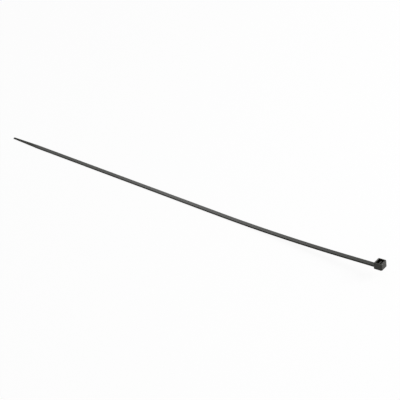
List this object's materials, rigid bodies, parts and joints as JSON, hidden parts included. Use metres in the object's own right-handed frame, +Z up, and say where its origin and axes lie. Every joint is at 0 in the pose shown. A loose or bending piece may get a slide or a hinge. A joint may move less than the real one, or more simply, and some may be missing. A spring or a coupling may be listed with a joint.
{
  "type": "cable tie",
  "caption": "Long slim one-piece self-locking cable tie with a toothed strap, a narrow tip and a slotted head that holds a pawl.",
  "frame": {"origin": "centre of the part's bounding box, on the surface that it lies on", "axes": "+X along the strap from the tip to the head, +Y across the strap, +Z up, away from the toothed side"},
  "size_m": [0.3698, 0.007, 0.0111],
  "materials": {
    "nylon": "satin black moulded nylon"
  },
  "bodies": {
    "root": {"cable_tie": "nylon"}
  },
  "joints": []
}
